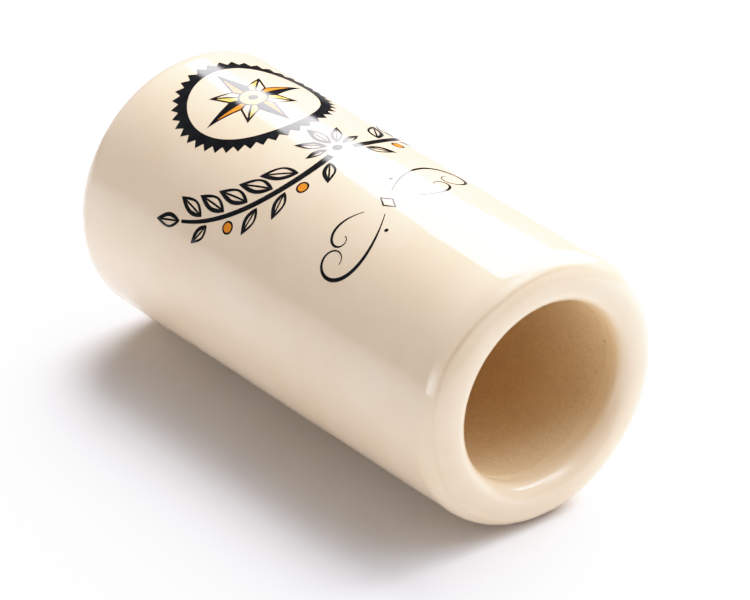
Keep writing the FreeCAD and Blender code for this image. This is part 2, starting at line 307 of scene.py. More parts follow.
def wreath():
    """Stem, leaves and berries, each with its mirror image."""
    branch = [(band(*zip(*[stem_at(k / 8.0) for k in range(9)])), [])]
    for u, side in LEAVES:
        point, direction, half = stem_at(u)
        # leaves close up towards the tip; those on side 1 spread and grow more
        spread = math.radians(47 - 10 * u + (4 if side > 0 else 0))
        heading = math.atan2(direction[1], direction[0]) + side * spread
        scale = (1.06 if side > 0 else 0.78) * (1.0 - 0.32 * max(0.0, u - 0.45))
        branch.append(leaf(beside(point, direction, (half + LEAF_GAP) * side), heading,
                           LEAF_LENGTH * scale, LEAF_WIDTH * (0.40 + 0.5 * scale), LEAF_LINE,
                           heavy=-side, bend=-side * 0.35))
    point, direction, _ = stem_at(1.0)
    base = (point[0] + direction[0] * TIP_LEAF_GAP, point[1] + direction[1] * TIP_LEAF_GAP)
    branch.append(leaf(base, math.atan2(direction[1], direction[0]),
                       LEAF_LENGTH * TIP_LEAF_SCALE, LEAF_WIDTH * TIP_LEAF_SCALE, LEAF_LINE))
    out = []
    for outer, cells in branch:
        out.append(("line", outer, cells))
        out.append(("line", mirrored(outer), [mirrored(cell) for cell in cells]))
    for u in BERRIES:
        point, direction, half = stem_at(u)
        offset = half + BERRY_GAP + BERRY_RADIUS
        x, arc = beside(point, direction, -offset)
        for place in (arc, 2 * EMBLEM_ARC - point[1] + direction[0] * offset):
            middle = circle(x, place, BERRY_RADIUS - BERRY_LINE, 12)
            out.append(("line", circle(x, place, BERRY_RADIUS, 12), [middle]))
            out.append(("amber", middle, []))
    return out


def flourish():
    """Two scrolls and a dot each side of a lozenge; the second half is the
    first turned by 180 degrees."""
    out = []
    long_scroll = scroll(start=(1.25, 1.5), length=18.5, heading=-38.0, turn=70.0,
                         curl=335.0, power=3.0, count=26, end_width=0.13, mid_width=0.50)
    short_scroll = scroll(start=(-1.05, 2.6), length=8.6, heading=38.0, turn=-62.0,
                          curl=-250.0, power=3.2, count=18, end_width=0.11, mid_width=0.36)
    dot_x, dot_arc, dot_radius = 3.35, 3.1, 0.26
    for side in (1, -1):
        for points, widths in (long_scroll, short_scroll):
            placed = [(FLOURISH_X + side * x, FLOURISH_ARC + side * arc) for x, arc in points]
            out.append(("flourish", stroke(placed, widths), []))
        out.append(("flourish", circle(FLOURISH_X + side * dot_x, FLOURISH_ARC + side * dot_arc,
                                       dot_radius, 10), []))
    along, across = LOZENGE
    lozenge = [(FLOURISH_X - along, FLOURISH_ARC), (FLOURISH_X, FLOURISH_ARC + across),
               (FLOURISH_X + along, FLOURISH_ARC), (FLOURISH_X, FLOURISH_ARC - across)]
    out.append(("flourish", polygon(lozenge), [polygon(inset(lozenge, [LOZENGE_LINE] * 4))]))
    return out


# ---------------------------------------------------------------------------
# Surface form.  Every departure from the turned shape is a smooth function of
# the place on the wall, so the prints can follow the glaze.
# ---------------------------------------------------------------------------
ANGLES = np.linspace(0, 2 * math.pi, AROUND, endpoint=False)
ONES = np.ones(AROUND)
ZEROS = np.zeros(AROUND)


def wave(x, th):
    """Radial unevenness of the fired glaze: sines of amplitude 0.004..0.016
    with 0, 2, 3, 5 and 9 lobes round the wall, each drifting along x."""
    return (0.012 * np.sin(x / 3.1 + 1.3 + 0.9 * np.sin(th + 0.4))
            + 0.016 * np.cos(2 * th + 0.7 + x / 15.0)
            + 0.010 * np.sin(3 * th - x / 6.5 + 2.1)
            + 0.006 * np.sin(5 * th + x / 2.6 + 0.3)
            + 0.004 * np.sin(9 * th - x / 1.9 + 1.1 + 0.8 * np.sin(x / 5.0)))


def turn_from(th, centre):
    """Signed angle from centre, -pi..pi."""
    return np.angle(np.exp(1j * (th - centre)))


def bell(distance, width):
    return np.exp(-(distance / width) ** 2)


def smoothstep(start, end, value):
    t = np.clip((value - start) / (end - start), 0.0, 1.0)
    return t * t * (3 - 2 * t)


def mouth_depth(th, side):
    """How far the glaze ran into a mouth: deepest at the bottom, with an edge
    made ragged by ever smaller and quicker waves."""
    k = 0.0 if side > 0 else 1.7   # shifts the waves between the two mouths
    return (MOUTH_GLAZE + 0.7 * bell(turn_from(th, 3.2), 1.1)
            + 0.20 * np.sin(th + 0.9 + k) + 0.13 * np.sin(2 * th + 2.0 * k + 0.3)
            + 0.09 * np.sin(5 * th + k) + 0.06 * np.sin(11 * th + 2.2 + k)
            + 0.04 * np.sin(23 * th + 0.5 * k) + 0.025 * np.sin(41 * th + k))


def pool(th, side):
    """Extra glaze that ran down and set at the low side of each lip."""
    lowest = math.radians(184 if side > 0 else 168)
    return 0.13 * bell(np.degrees(turn_from(th, lowest)), 46.0) + 0.01 * np.sin(3 * th + side)


def clay_shows(depth, side):
    """How far the clay shows through the glaze this deep in a mouth, 0..1;
    slower to show at the bottom, where the glaze is thick."""
    lowest = math.radians(190 if side > 0 else 165)
    low = bell(np.degrees(turn_from(ANGLES, lowest)), 72.0)
    return smoothstep(0.25, 1.7 + 2.3 * low, depth)


def thin_shaded_crest(th, slope, side):
    """Line round the rim's rounding, 0..1, where the glaze is a little thinner and
    a painted shade darkens it, standing in for the dark room the rim reflects;
    slope is the place on the rounding in radians, from the wall to the end face."""
    d = np.degrees(turn_from(th, 0.0 if side > 0 else 1.9))
    # degrees round the rim of the thin, painted-shade line, wandering round the mouth
    middle = (48.5 - 12.0 * smoothstep(18, 62, d) + 10.0 * smoothstep(64, 105, d)
              + 6.0 * smoothstep(0, -40, d))
    middle = middle + 0.6 * np.sin(5 * th + 0.4) + 0.4 * np.sin(17 * th)
    strength = 0.25 + 0.75 * smoothstep(-34, 2, d) * smoothstep(78, 58, d)
    return strength * bell(math.degrees(slope) - middle, 4.4)


# ---------------------------------------------------------------------------
# Meshes
# ---------------------------------------------------------------------------
def new_mesh(name, verts, faces, material):
    """Mesh from vertices in metres."""
    mesh = bpy.data.meshes.new(name)
    mesh.from_pydata(verts, [], faces)
    mesh.materials.append(material)
    return mesh


def add_object(name, mesh):
    ob = bpy.data.objects.new(name, mesh)
    bpy.context.scene.collection.objects.link(ob)
    return ob


def shade_smooth(mesh):
    mesh.polygons.foreach_set("use_smooth", [True] * len(mesh.polygons))


def add_turned(name, xs, radii, material, attributes=None, flip=False):
    """Closed torus-like skin from rings: xs and radii are (rings, AROUND)."""
    n = len(xs)
    th = ANGLES[None, :]
    verts = np.stack([xs, -radii * np.sin(th), radii * np.cos(th)], axis=-1).reshape(-1, 3)
    faces = []
    for i in range(n):
        row, after = i * AROUND, (i + 1) % n * AROUND
        for k in range(AROUND):
            m = (k + 1) % AROUND
            face = (row + k, after + k, after + m, row + m)
            faces.append(face[::-1] if flip else face)
    mesh = new_mesh(name, (verts * MM).tolist(), faces, material)
    shade_smooth(mesh)
    for key, values in (attributes or {}).items():
        attribute = mesh.attributes.new(key, "FLOAT", "POINT")
        attribute.data.foreach_set("value", values.reshape(-1).astype(np.float32))
    mesh.validate()
    mesh.update()
    return add_object(name, mesh)


def half_profile():
    """Turned outline from mid length to the end of the lip, as rows of
    (part, x, radius, angle round its rounding)."""
    rows = []
    for k in range(36):
        u = k / 35.0
        rows.append(("wall", (HALF_LENGTH - RIM_ROUND) * (1 - (1 - u) ** 1.15), RADIUS, 0.0))
    fullness = 2.06                # 2 would be a true quarter circle
    for k in range(1, 41):
        a = 0.5 * math.pi * k / 40
        ca, sa = math.cos(a) ** (2 / fullness), math.sin(a) ** (2 / fullness)
        rows.append(("rim", HALF_LENGTH - RIM_ROUND + RIM_ROUND * sa,
                     RIM_CENTRE + RIM_ROUND * ca, a))
    for k in range(1, 5):
        rows.append(("face", HALF_LENGTH, RIM_CENTRE + (LIP_CENTRE - RIM_CENTRE) * (k / 5.0), 0.0))
    for k in range(17):
        a = 0.5 * math.pi * k / 16
        rows.append(("lip", HALF_LENGTH - LIP_ROUND + LIP_ROUND * math.cos(a),
                     LIP_CENTRE - LIP_ROUND * math.sin(a), a))
    return rows


def glaze_half(side):
    """Outer rings (x, radius, crest shade, thin) from mid length into one mouth."""
    rings = []
    for part, x, radius, a in half_profile():
        swell = wave(side * x, ANGLES)
        face_swell = 0.2 * swell - 0.010
        thin_crest_shade = thin = ZEROS
        if part == "wall":
            dx, dr = ZEROS, swell
        elif part == "rim":
            # mask for the thinner glaze and the painted shade line on the crest
            thin_crest_shade = thin_shaded_crest(ANGLES, a, side)
            # the crest carries less glaze
            out = swell * math.cos(a) + face_swell * math.sin(a) ** 2 - 0.005 * thin_crest_shade
            dx, dr = out * math.sin(a), out * math.cos(a)
        elif part == "face":
            dx, dr = face_swell, ZEROS
        else:
            thin = clay_shows(HALF_LENGTH - x, side)
            out = face_swell * math.cos(a) ** 2
            pooled = pool(ANGLES, side) * smoothstep(0.25, 1.0, 1 - math.cos(a))
            dx, dr = out * math.cos(a), -out * math.sin(a) - pooled
        rings.append((side * np.minimum(x + dx, HALF_LENGTH),
                      np.minimum(radius + dr, RADIUS + 0.05), thin_crest_shade, thin))
    # run into the mouth: a soft swelling, then a rounded feather edge made by
    # two last rings 0.012 apart
    reach = mouth_depth(ANGLES, side)
    n = 22
    for k in range(1, n + 2):
        v = 1 - (1 - k / float(n)) ** 1.6 if k < n else 1.0
        depth = (LIP_ROUND + (reach - LIP_ROUND - (0.03 if k < n else 0.0)) * v
                 - (0.012 if k == n else 0.0))
        left = reach - depth       # distance still to go to the edge
        radius = (BORE - 0.008 * smoothstep(0.0, 0.35, left)
                  - pool(ANGLES, side) * smoothstep(0.0, 1.2, left))
        rings.append((side * (HALF_LENGTH - depth), radius, ZEROS, clay_shows(depth, side)))
    return rings


def hidden_rings():
    """Rings (x, radius) where glaze meets clay, from the +X mouth over the
    outside to the -X mouth."""
    rings = []
    for side in (1, -1):
        half = [(HALF_LENGTH - mouth_depth(ANGLES, side), BORE + GLAZE),
                (HALF_LENGTH - LIP_ROUND, BORE + GLAZE)]
        for k in range(1, 6):
            a = 0.5 * math.pi * k / 5
            half.append((HALF_LENGTH - LIP_ROUND + (LIP_ROUND - GLAZE) * math.sin(a),
                         LIP_CENTRE - (LIP_ROUND - GLAZE) * math.cos(a)))
        for k in range(9):
            a = 0.5 * math.pi * k / 8
            half.append((HALF_LENGTH - RIM_ROUND + (RIM_ROUND - GLAZE) * math.cos(a),
                         RIM_CENTRE + (RIM_ROUND - GLAZE) * math.sin(a)))
        rings += [(side * x * ONES, radius * ONES) for x, radius in half[::side]]
    return rings


def make_glaze(material):
    # the mid-length ring is shared, so one copy is dropped
    rings = glaze_half(-1)[::-1][:-1] + glaze_half(1)
    rings += [(x, radius, ZEROS, ONES) for x, radius in hidden_rings()]
    xs, radii, thin_crest_shade, thin = (np.array(column) for column in zip(*rings))
    # the crest attribute carries the painted shade line on the rim
    return add_turned("glaze_skin", xs, radii, material, {"thin_crest_shade": thin_crest_shade, "thin": thin})


def blurred(field, passes):
    """Field smoothed round the bore and along it, scaled to unit deviation."""
    for _ in range(passes):
        field = (field + np.roll(field, 1, 1) + np.roll(field, -1, 1)) / 3.0
        p = np.pad(field, ((1, 1), (0, 0)), mode="edge")
        field = (p[:-2] + p[1:-1] + p[2:]) / 3.0
    return field / field.std()


def make_bisque(material):
    """Clay body: a bare bore with a fine cast grain, and the plain outside
    hidden under the glaze."""
    rng = np.random.default_rng(20761)
    us = np.concatenate([[0.0], np.linspace(0.0002, 0.9998, 190), [1.0]])
    low_end = -(HALF_LENGTH - mouth_depth(ANGLES, -1))
    high_end = HALF_LENGTH - mouth_depth(ANGLES, 1)
    xs = low_end[None, :] * (1 - us)[:, None] + high_end[None, :] * us[:, None]
    fine = rng.standard_normal(xs.shape)
    coarse = rng.standard_normal(xs.shape)
    grain = 0.006 * blurred(fine, 1) + 0.010 * blurred(coarse, 8)
    # broad unevenness of the cast wall
    grain = (grain + 0.02 * np.sin(2 * ANGLES[None, :] + 0.5 + xs / 21.0)
             + 0.012 * np.sin(xs / 5.2 + 1.0))
    # the grain fades out at both ends so the clay meets the glaze
    fade = smoothstep(0.0, 0.03, us)[:, None] * smoothstep(0.0, 0.03, 1 - us)[:, None]
    hidden_xs, hidden_radii = zip(*hidden_rings())
    return add_turned("clay_body", np.vstack([xs, *hidden_xs]),
                      np.vstack([BORE + grain * fade, *hidden_radii]), material, flip=True)


# ---------------------------------------------------------------------------
# Prints: thin fired-in films that follow the glaze
# ---------------------------------------------------------------------------
def spline(p, periodic):
    """Cubic spline through p, sampled at about SPLINE_STEP, without its end.
    An open spline keeps its third derivative across the points next to its ends."""
    h = np.hypot(*np.diff(p, axis=0).T)
    n = len(p)
    size = n - 1 if periodic else n
    A = np.zeros((size, size))
    b = np.zeros((size, 2))
    if not periodic:
        A[0, :3] = -h[1], h[0] + h[1], -h[0]
        A[-1, -3:] = -h[-1], h[-2] + h[-1], -h[-2]
    for i in range(size) if periodic else range(1, n - 1):
        before, after = (i - 1) % size, (i + 1) % size
        A[i, before] += h[i - 1]
        A[i, i] += 2 * (h[i - 1] + h[i])
        A[i, after] += h[i]
        b[i] = 6 * ((p[after] - p[i]) / h[i] - (p[i] - p[before]) / h[i - 1])
    s = np.linalg.solve(A, b)      # second derivatives at the points
    if periodic:
        s = np.vstack([s, s[:1]])
    out = []
    for i in range(n - 1):
        k = max(2, int(math.ceil(h[i] / SPLINE_STEP)))
        t = (np.arange(k) / k * h[i])[:, None]
        u = h[i] - t
        q = (s[i] * u ** 3 + s[i + 1] * t ** 3) / (6 * h[i])
        q = q + (p[i] / h[i] - s[i] * h[i] / 6) * u
        out.append(q + (p[i + 1] / h[i] - s[i + 1] * h[i] / 6) * t)
    return np.vstack(out)


def loop_points(outline):
    """A closed outline as points, the last joined to the first."""
    parts = []
    for run in outline:
        p = np.array(run, float)
        if len(p) == 2:
            k = max(1, int(math.ceil(np.hypot(*(p[1] - p[0])) / LINE_STEP)))
            t = (np.arange(k) / k)[:, None]
            parts.append(p[0] + (p[1] - p[0]) * t)
        else:
            parts.append(spline(p, bool(np.allclose(p[0], p[-1]))))
    q = np.vstack(parts)
    return q[np.hypot(*(q - np.roll(q, 1, axis=0)).T) > 1e-4]


def inside(q, loops):
    """Even-odd test of points q against closed loops."""
    hit = np.zeros(len(q), bool)
    for loop in loops:
        for (x0, y0), (x1, y1) in zip(loop, np.roll(loop, -1, axis=0)):
            if y0 == y1:
                continue
            spans = (y0 > q[:, 1]) != (y1 > q[:, 1])
            hit ^= spans & (q[:, 0] < (x1 - x0) * (q[:, 1] - y0) / (y1 - y0) + x0)
    return hit


def fill(loops):
    """Vertices and triangles of a region with holes, with points inside it so
    that the film bends round the wall."""
    verts, edges = [], []
    for loop in loops:
        base = len(verts)
        verts += [tuple(v) for v in loop]
        edges += [(base + k, base + (k + 1) % len(loop)) for k in range(len(loop))]
    border = np.array(verts)
    low, high = border.min(0), border.max(0)
    gx, gy = np.meshgrid(np.arange(low[0], high[0], FILL_STEP),
                         np.arange(low[1], high[1], FILL_STEP))
    grid = np.stack([gx.ravel(), gy.ravel()], 1)
    grid = grid[inside(grid, loops)]
    verts += [tuple(q) for q in grid if np.min(np.hypot(*(border - q).T)) > FILL_MARGIN]
    result = geometry.delaunay_2d_cdt([Vector(v) for v in verts], edges, [], 0, 1e-6)
    v = np.array([tuple(q) for q in result[0]])
    f = np.array([t for t in result[2] if len(t) == 3])
    f = f[inside(v[f].mean(1), loops)]
    e1, e2 = v[f[:, 1]] - v[f[:, 0]], v[f[:, 2]] - v[f[:, 0]]
    cross = e1[:, 0] * e2[:, 1] - e1[:, 1] * e2[:, 0]
    f[cross < 0] = f[cross < 0][:, ::-1]
    f = f[np.abs(cross) > 1e-9]
    used = np.unique(f)
    renumber = -np.ones(len(v), int)
    renumber[used] = np.arange(len(used))
    return v[used], renumber[f]


def wrap(v, lift):
    """Flat points (x, arc) laid on the wall, lifted off the glaze."""
    th = v[:, 1] / RADIUS
    r = RADIUS + wave(v[:, 0], th) + lift
    return np.stack([v[:, 0], -r * np.sin(th), r * np.cos(th)], 1)


def wall_normal(v):
    e = 1e-3
    x, th = v[:, 0], v[:, 1] / RADIUS
    wx = (wave(x + e, th) - wave(x - e, th)) / (2 * e)
    wt = (wave(x, th + e) - wave(x, th - e)) / (2 * e) / RADIUS
    n = np.stack([-wx, -np.sin(th) + wt * np.cos(th), np.cos(th) + wt * np.sin(th)], 1)
    return n / np.linalg.norm(n, axis=1)[:, None]


def make_print(name, regions, material):
    """Closed film over all regions of one ink; its top is shaded with the
    glaze's own normals, the rest (zero vectors) with automatic ones."""
    verts, faces, normals = [], [], []
    automatic = (0, 0, 0)
    base = 0
    for outer, holes in regions:
        v, f = fill([loop_points(outline) for outline in [outer] + holes])
        n = len(v)
        nrm = wall_normal(v)
        verts += [wrap(v, FILM_TOP), wrap(v, FILM_BOTTOM)]
        for a, b, c in f:
            faces.append((base + a, base + c, base + b))
            normals += [nrm[a], nrm[c], nrm[b]]
        for a, b, c in f:
            faces.append((base + n + a, base + n + b, base + n + c))
            normals += [automatic] * 3
        edges = dict.fromkeys((t[i], t[(i + 1) % 3]) for t in f for i in range(3))
        for i, j in edges:
            if (j, i) not in edges:
                faces.append((base + i, base + j, base + n + j, base + n + i))
                normals += [automatic] * 4
        base += 2 * n
    mesh = new_mesh(name, (np.vstack(verts) * MM).tolist(),
                    [tuple(int(i) for i in face) for face in faces], material)
    shade_smooth(mesh)
    mesh.update()
    mesh.normals_split_custom_set([tuple(map(float, q)) for q in normals])
    mesh.update()
    return add_object(name, mesh)


# ---------------------------------------------------------------------------
# Shader building
# ---------------------------------------------------------------------------
class Nodes:
    """Short ways to add and wire nodes.  self.co is the texture coordinate."""

    def __init__(self, owner):
        owner.use_nodes = True
        self.tree = owner.node_tree
        self.tree.nodes.clear()

    def add(self, kind, **settings):
        n = self.tree.nodes.new(kind)
        for key, value in settings.items():
            setattr(n, key, value)
        return n

    def link(self, output, socket):
        self.tree.links.new(output, socket)

    def put(self, socket, value):
        """Link an output to a socket, or set a plain value."""
        if hasattr(value, "node"):
            self.link(value, socket)
        else:
            socket.default_value = value

    def math(self, operation, a, b=0.0, clamp=False):
        n = self.add("ShaderNodeMath", operation=operation, use_clamp=clamp)
        for socket, value in zip(n.inputs, (a, b, 0.0)):
            self.put(socket, value)
        return n.outputs[0]

    def mul(self, a, b):
        return self.math("MULTIPLY", a, b)

    def plus(self, a, b):
        return self.math("ADD", a, b)

    def minus(self, a, b):
        return self.math("SUBTRACT", a, b)

    def along(self, x, y, a, b):
        """x * a + y * b"""
        return self.plus(self.mul(x, a), self.mul(y, b))

    def ramp(self, value, start, end, low=0.0, high=1.0, kind="SMOOTHSTEP"):
        """value from start..end to low..high, clamped."""
        n = self.add("ShaderNodeMapRange", interpolation_type=kind)
        for key, v in (("Value", value), ("From Min", start), ("From Max", end),
                       ("To Min", low), ("To Max", high)):
            self.put(n.inputs[key], v)
        return n.outputs["Result"]

    def split(self, vector):
        n = self.add("ShaderNodeSeparateXYZ")
        self.link(vector, n.inputs[0])
        return n.outputs

    def camera_ray(self):
        return self.add("ShaderNodeLightPath").outputs["Is Camera Ray"]


class Finish(Nodes):
    """A material with one shader; coordinates are millimetres on the object."""

    def __init__(self, name, shader="ShaderNodeBsdfPrincipled"):
        self.material = bpy.data.materials.new(name)
        super().__init__(self.material)
        output = self.add("ShaderNodeOutputMaterial")
        self.shader = self.add(shader)
        self.link(self.shader.outputs[0], output.inputs[0])
        mapping = self.add("ShaderNodeMapping")
        mapping.inputs["Scale"].default_value = (1000, 1000, 1000)
        self.link(self.add("ShaderNodeTexCoord").outputs["Object"], mapping.inputs["Vector"])
        self.co = mapping.outputs["Vector"]

    def set(self, **values):
        """Shader inputs by name, underscores for spaces."""
        for key, value in values.items():
            self.put(self.shader.inputs[key.replace("_", " ")], value)

    def noise(self, size, detail, rough, seed):
        """Noise with features about size across, roughly 0..1."""
        n = self.add("ShaderNodeTexNoise", noise_dimensions="4D")
        self.link(self.co, n.inputs["Vector"])
        for key, value in (("W", seed), ("Scale", 1.0 / size),
                           ("Detail", detail), ("Roughness", rough)):
            n.inputs[key].default_value = value
        return n.outputs["Fac"]

    def mottle(self, size, detail, rough, seed, span, to=(0.0, 1.0)):
        """Noise over span stretched to the range to."""
        return self.ramp(self.noise(size, detail, rough, seed), *span, *to)

    def mix(self, factor, a, b):
        n = self.add("ShaderNodeMix", data_type="RGBA")
        self.put(n.inputs[0], factor)
        for socket, color in ((n.inputs[6], a), (n.inputs[7], b)):
            self.put(socket, color if hasattr(color, "node") else tuple(color) + (1.0,))
        return n.outputs[2]

    def attribute(self, name):
        return self.add("ShaderNodeAttribute", attribute_name=name).outputs["Fac"]

    def specks(self, spacing, share, radii, seed):
        """Scattered round spots in a share of the cells: a mask, 1 in a spot,
        and a random value per spot."""
        mapping = self.add("ShaderNodeMapping")
        mapping.inputs["Location"].default_value = (seed, 2.3 * seed, -1.7 * seed)
        self.link(self.co, mapping.inputs["Vector"])
        cells = self.add("ShaderNodeTexVoronoi", feature="F1")
        cells.inputs["Scale"].default_value = 1.0 / spacing
        self.link(mapping.outputs["Vector"], cells.inputs["Vector"])
        chance = self.add("ShaderNodeSeparateColor")
        self.link(cells.outputs["Color"], chance.inputs[0])
        chosen = self.math("LESS_THAN", chance.outputs[0], share)
        radius = self.ramp(chance.outputs[1], 0.0, 1.0, radii[0] / spacing, radii[1] / spacing,
                           kind="LINEAR")
        distance = self.math("DIVIDE", cells.outputs["Distance"], radius)
        return self.mul(self.ramp(distance, 1.0, 0.45), chosen), chance.outputs[2]

    def bumps(self, *layers):
        """Stacked bumps from (height, distance in metres)."""
        normal = None
        for height, distance in layers:
            n = self.add("ShaderNodeBump")
            n.inputs["Strength"].default_value = 1.0
            n.inputs["Distance"].default_value = distance
            self.put(n.inputs["Height"], height)
            if normal is not None:
                self.link(normal, n.inputs["Normal"])
            normal = n.outputs[0]
        return normal

    def lit_low_mouth(self):
        """Low side of each mouth, lighter: painted light where light falls in through the mouth
        onto its lower inside.
        """
        x, _, z = self.split(self.co)
        near = self.ramp(self.math("ABSOLUTE", x), HALF_LENGTH - 10.5, HALF_LENGTH - 4.0)
        return self.mul(near, self.ramp(self.mul(z, -1.0), 5.5, 10.0))

    def peel(self):
        """Soft ripple shared by glaze and prints, as a bump layer."""
        return self.noise(size=2.4, detail=1.0, rough=0.4, seed=20.0), 0.0000035


# ---------------------------------------------------------------------------
# Finishes
# ---------------------------------------------------------------------------
def glaze_material():
    m = Finish("ivory_glaze")
    ivory, warm, cool = (0.878, 0.690, 0.484), (0.858, 0.661, 0.448), (0.893, 0.713, 0.514)
    base = m.mix(m.mottle(size=11.0, detail=3.0, rough=0.55, seed=1.7, span=(0.32, 0.70)),
                 warm, cool)
    base = m.mix(m.mottle(size=1.6, detail=3.0, rough=0.6, seed=4.1, span=(0.3, 0.75),
                          to=(0.0, 0.35)), base, ivory)
    # small flecks, a few larger dark ones, and open pinholes
    flecks, _ = m.specks(spacing=1.1, share=0.30, radii=(0.05, 0.11), seed=3.0)
    base = m.mix(m.mul(flecks, 0.22), base, (0.30, 0.20, 0.11))
    spots, depth = m.specks(spacing=4.2, share=0.16, radii=(0.07, 0.17), seed=11.0)
    base = m.mix(m.mul(spots, m.ramp(depth, 0.0, 1.0, 0.35, 0.85)), base, (0.17, 0.11, 0.07))
    pinholes, _ = m.specks(spacing=2.6, share=0.10, radii=(0.05, 0.10), seed=23.0)
    base = m.mix(m.mul(pinholes, 0.35), base, (0.33, 0.24, 0.15))
    # painted shade: a darker, ragged line on the rim's crest, standing in for the dark room it
    # reflects
    ragged = m.noise(size=1.3, detail=3.0, rough=0.6, seed=9.0)
    thin_crest_shade = m.mul(m.attribute("thin_crest_shade"), m.ramp(ragged, 0.3, 0.65, 0.55, 1.0))
    base = m.mix(m.mul(thin_crest_shade, 0.60), base, (0.60, 0.405, 0.225))
    # thin glaze in the mouths: the clay shows through, speckled at its edge
    thin = m.plus(m.attribute("thin"), m.mul(m.minus(ragged, 0.5), 0.25))
    # painted light: the clay is lighter on the low side of each mouth
    clay = m.mix(m.mul(m.lit_low_mouth(), 0.75), (0.850, 0.620, 0.345), (0.955, 0.765, 0.495))
    base = m.mix(m.ramp(thin, 0.0, 0.95, kind="LINEAR"), base, clay)
    grit, depth = m.specks(spacing=0.55, share=0.5, radii=(0.05, 0.13), seed=31.0)
    grit = m.mul(grit, m.mul(m.ramp(thin, 0.45, 0.90), m.ramp(depth, 0.0, 1.0, 0.2, 1.0)))
    base = m.mix(m.mul(grit, 0.45), base, (0.30, 0.20, 0.12))
    # glossy, but dull where the glaze runs out and in the holes
    dull_start, dull_end = 0.72, 0.98
    rough = m.mottle(size=6.0, detail=2.0, rough=0.5, seed=12.0, span=(0.3, 0.7),
                     to=(0.035, 0.065))
    rough = m.plus(rough, m.ramp(thin, dull_start, dull_end, 0.0, 0.75))
    rough = m.math("ADD", rough, m.mul(m.math("MAXIMUM", spots, pinholes), 0.3), clamp=True)
    holes = m.plus(m.mul(pinholes, -1.0), m.mul(spots, -0.5))
    m.set(Base_Color=base, Roughness=rough, IOR=1.52,
          Specular_IOR_Level=m.ramp(thin, dull_start, dull_end, 0.5, 0.25),
          Normal=m.bumps(m.peel(), (holes, 0.00003), (grit, 0.00003)))
    return m.material


def bisque_material():
    m = Finish("bisque")
    base = m.mix(m.mottle(size=7.0, detail=3.0, rough=0.6, seed=2.0, span=(0.3, 0.7)),
                 (0.805, 0.556, 0.286), (0.856, 0.611, 0.329))
    base = m.mix(m.mottle(size=0.8, detail=4.0, rough=0.65, seed=5.0, span=(0.35, 0.7),
                          to=(0.0, 0.5)), base, (0.890, 0.660, 0.372))
    # painted light: lighter on the low side of each mouth, where light falls in
    base = m.mix(m.mul(m.lit_low_mouth(), 0.65), base, (0.960, 0.765, 0.470))
    # fine grain, dark and light
    fine = m.noise(size=0.20, detail=3.0, rough=0.75, seed=6.0)
    base = m.mix(m.ramp(fine, 0.42, 0.70, 0.0, 0.34), base, (0.50, 0.32, 0.16))
    base = m.mix(m.ramp(fine, 0.52, 0.28, 0.0, 0.30), base, (0.93, 0.72, 0.46))
    dark, depth = m.specks(spacing=1.30, share=0.42, radii=(0.07, 0.17), seed=5.0)
    base = m.mix(m.mul(dark, m.ramp(depth, 0.0, 1.0, 0.15, 0.60)), base, (0.25, 0.15, 0.08))
    light, _ = m.specks(spacing=0.9, share=0.4, radii=(0.05, 0.12), seed=17.0)
    base = m.mix(m.mul(light, 0.35), base, (0.900, 0.720, 0.470))
    grain = m.noise(size=0.30, detail=4.0, rough=0.75, seed=14.0)
    lumps = m.noise(size=1.5, detail=2.0, rough=0.5, seed=15.0)
    m.set(Base_Color=base, IOR=1.45, Specular_IOR_Level=0.25,
          Roughness=m.mottle(size=1.2, detail=3.0, rough=0.6, seed=8.0, span=(0.3, 0.7),
                             to=(0.72, 0.95)),
          Normal=m.bumps((grain, 0.00010), (lumps, 0.00006), (m.mul(dark, -1.0), 0.00005)))
    return m.material


def print_material(name, dark, light, dense, seed):
    """Ceramic colour under the gloss: uneven density, and a few pinholes."""
    m = Finish(name)
    base = m.mix(m.mottle(size=1.4, detail=3.0, rough=0.6, seed=seed, span=(0.3, 0.72)),
                 dark, light)
    base = m.mix(m.mottle(size=0.22, detail=2.0, rough=0.6, seed=seed + 3, span=(0.45, 0.8),
                          to=(0.0, 0.5)), base, dense)
    pinholes, _ = m.specks(spacing=0.9, share=0.10, radii=(0.02, 0.05), seed=seed + 7)
    base = m.mix(m.mul(pinholes, 0.5), base, (0.5, 0.4, 0.28))
    rough = m.mottle(size=2.0, detail=3.0, rough=0.6, seed=seed + 5, span=(0.3, 0.7),
                     to=(0.04, 0.09))
    grain = m.noise(size=0.30, detail=2.0, rough=0.6, seed=seed + 9)
    m.set(Base_Color=base, IOR=1.52, Roughness=m.plus(rough, m.mul(pinholes, 0.3)),
          Normal=m.bumps(m.peel(), (grain, 0.000002)))
    return m.material


# ---------------------------------------------------------------------------
# The slide
# ---------------------------------------------------------------------------
black = print_material("black_print", dark=(0.006, 0.006, 0.007), light=(0.012, 0.013, 0.014),
                       dense=(0.020, 0.020, 0.019), seed=3.0)
amber = print_material("amber_print", dark=(0.80, 0.215, 0.016), light=(0.88, 0.32, 0.03),
                       dense=(0.72, 0.16, 0.010), seed=5.0)
yellow = print_material("yellow_print", dark=(0.80, 0.53, 0.10), light=(0.86, 0.64, 0.18),
                        dense=(0.74, 0.46, 0.07), seed=7.0)

# object, CAD node it replaces, material slot
pieces = [(make_glaze(glaze_material()), "glaze_coat", "ivory_glaze"),
          (make_bisque(bisque_material()), "bisque_tube", "bisque")]
artwork = toothed_ring() + star() + palmette() + wreath() + flourish()
# ink, object name, material, CAD node, slot
for ink, name, material, node, slot in (
        ("line", "emblem_lines", black, "emblem_line_print", "black_print"),
        ("amber", "emblem_amber", amber, "emblem_amber_print", "amber_print"),
        ("yellow", "emblem_yellow", yellow, "emblem_yellow_print", "yellow_print"),
        ("flourish", "scroll_lines", black, "flourish_print", "black_print")):
    regions = [(outer, holes) for key, outer, holes in artwork if key == ink]
    pieces.append((make_print(name, regions, material), node, slot))

